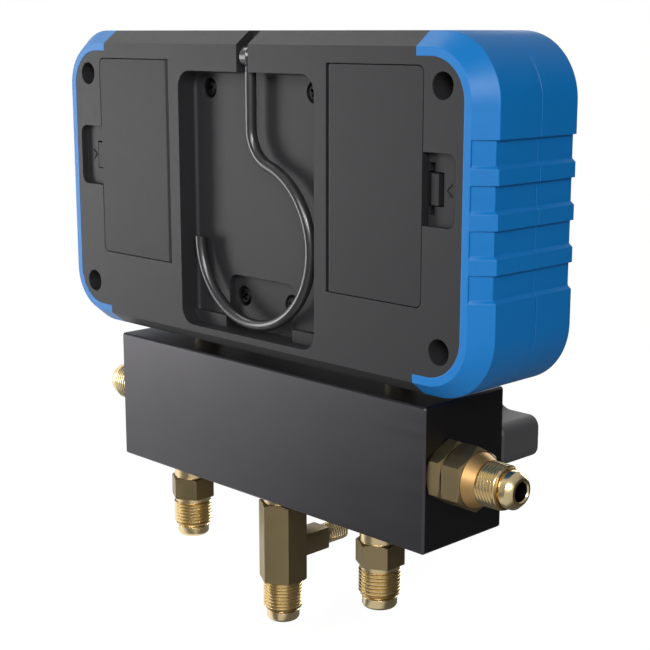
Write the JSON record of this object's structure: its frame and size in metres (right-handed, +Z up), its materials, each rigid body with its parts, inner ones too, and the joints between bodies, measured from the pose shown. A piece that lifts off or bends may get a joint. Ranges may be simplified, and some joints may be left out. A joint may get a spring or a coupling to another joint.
{
  "type": "refrigerant manifold gauge",
  "caption": "Handheld digital refrigerant manifold gauge: display housing with folding rear hook and battery doors, on a valve block with flare ports and lobed knobs.",
  "frame": {"origin": "pivot of the hanging hook, on the middle plane, 2.8 mm inside the housing's flat back", "axes": "+Z up, the display and valve knobs face -Y, the hook and battery doors face +Y, +X to the right for someone who reads the display"},
  "size_m": [0.1624, 0.0526, 0.1615],
  "materials": {
    "black_plastic": "fine spark texture",
    "blue_guard": "matte",
    "door_plastic": "fine spark texture",
    "hook_steel": "dark plated",
    "screw_steel": "zinc plated",
    "cell_steel": "plain sleeve",
    "contact_steel": "nickel plated",
    "brass": "machined",
    "block_metal": "dark anodised",
    "post_steel": "turned",
    "sensor_steel": "turned",
    "knob_plastic": "satin",
    "cap_blue": "satin",
    "cap_red": "satin",
    "seal_rubber": "matte",
    "clear_glass": "polished",
    "panel_glass": "matte",
    "frame_plastic": "moulded",
    "board_laminate": "lacquered",
    "key_rubber": "matte"
  },
  "bodies": {
    "housing": {"battery_cells_left": "cell_steel", "battery_cells_right": "cell_steel", "battery_contacts_left": "contact_steel", "battery_contacts_right": "contact_steel", "board_screws": "screw_steel", "bottom_port_high": "brass", "bottom_port_low": "brass", "case_screws": "screw_steel", "center_tee": "brass", "circuit_board": "board_laminate", "display_window": "clear_glass", "end_nut_high": "brass", "end_nut_low": "brass", "end_port_high": "brass", "end_port_low": "brass", "front_shell": "black_plastic", "guard_front_left": "blue_guard", "guard_front_right": "blue_guard", "guard_rear_left": "blue_guard", "guard_rear_right": "blue_guard", "hook_pin": "screw_steel", "keypad_mat": "seal_rubber", "lcd_backlight": "frame_plastic", "lcd_frame": "frame_plastic", "lcd_panel": "panel_glass", "manifold_block": "block_metal", "post_nuts": "screw_steel", "pressure_sensor_high": "sensor_steel", "pressure_sensor_low": "sensor_steel", "rear_shell": "black_plastic", "sensor_post_high": "post_steel", "sensor_post_low": "post_steel", "sight_glass": "clear_glass", "sight_ring": "brass", "valve_bonnet_high": "brass", "valve_bonnet_low": "brass", "well_screws": "screw_steel"},
    "hook": {"hook": "hook_steel"},
    "door_left": {"battery_door_left": "door_plastic"},
    "door_right": {"battery_door_right": "door_plastic"},
    "key_power": {"key_power": "key_rubber"},
    "key_mode": {"key_mode": "key_rubber"},
    "key_enter": {"key_enter": "key_rubber"},
    "key_up": {"key_up": "key_rubber"},
    "key_down": {"key_down": "key_rubber"},
    "valve_low": {"valve_plunger_low": "brass", "valve_seals_low": "seal_rubber"},
    "knob_low": {"valve_stem_low": "brass", "valve_knob_low": "knob_plastic", "knob_cap_low": "cap_blue", "knob_screw_low": "screw_steel"},
    "valve_high": {"valve_plunger_high": "brass", "valve_seals_high": "seal_rubber"},
    "knob_high": {"valve_stem_high": "brass", "valve_knob_high": "knob_plastic", "knob_cap_high": "cap_red", "knob_screw_high": "screw_steel"}
  },
  "joints": [
    {"name": "hook_swing", "type": "hinge", "parent": "housing", "child": "hook", "pos_m": [0, 0, 0], "axis": [1, 0, 0], "range_deg": [0, 180]},
    {"name": "door_left_swing", "type": "hinge", "parent": "housing", "child": "door_left", "pos_m": [-0.0317, 0.0016, -0.0287], "axis": [0, 0, -1], "range_deg": [0, 90]},
    {"name": "door_right_swing", "type": "hinge", "parent": "housing", "child": "door_right", "pos_m": [0.0317, 0.0016, -0.0287], "axis": [0, 0, 1], "range_deg": [0, 90]},
    {"name": "key_power_press", "type": "slide", "parent": "housing", "child": "key_power", "axis": [0, 1, 0], "range_m": [0, 0.0007], "stiffness_N_per_m": 1500},
    {"name": "key_mode_press", "type": "slide", "parent": "housing", "child": "key_mode", "axis": [0, 1, 0], "range_m": [0, 0.0007], "stiffness_N_per_m": 1500},
    {"name": "key_enter_press", "type": "slide", "parent": "housing", "child": "key_enter", "axis": [0, 1, 0], "range_m": [0, 0.0007], "stiffness_N_per_m": 1500},
    {"name": "key_up_press", "type": "slide", "parent": "housing", "child": "key_up", "axis": [0, 1, 0], "range_m": [0, 0.0007], "stiffness_N_per_m": 1500},
    {"name": "key_down_press", "type": "slide", "parent": "housing", "child": "key_down", "axis": [0, 1, 0], "range_m": [0, 0.0007], "stiffness_N_per_m": 1500},
    {"name": "valve_low_lift", "type": "slide", "parent": "housing", "child": "valve_low", "axis": [0, -1, 0], "range_m": [0, 0.003]},
    {"name": "knob_low_turn", "type": "hinge", "parent": "valve_low", "child": "knob_low", "pos_m": [-0.038, -0.0422, -0.09825], "axis": [0, -1, 0], "range_deg": [0, 720]},
    {"name": "valve_high_lift", "type": "slide", "parent": "housing", "child": "valve_high", "axis": [0, -1, 0], "range_m": [0, 0.003]},
    {"name": "knob_high_turn", "type": "hinge", "parent": "valve_high", "child": "knob_high", "pos_m": [0.038, -0.0422, -0.09825], "axis": [0, -1, 0], "range_deg": [0, 720]}
  ],
  "couplings": [
    {"joint": "valve_low_lift", "follows": "knob_low_turn", "m_per_rad": 0.00023873},
    {"joint": "valve_high_lift", "follows": "knob_high_turn", "m_per_rad": 0.00023873}
  ]
}
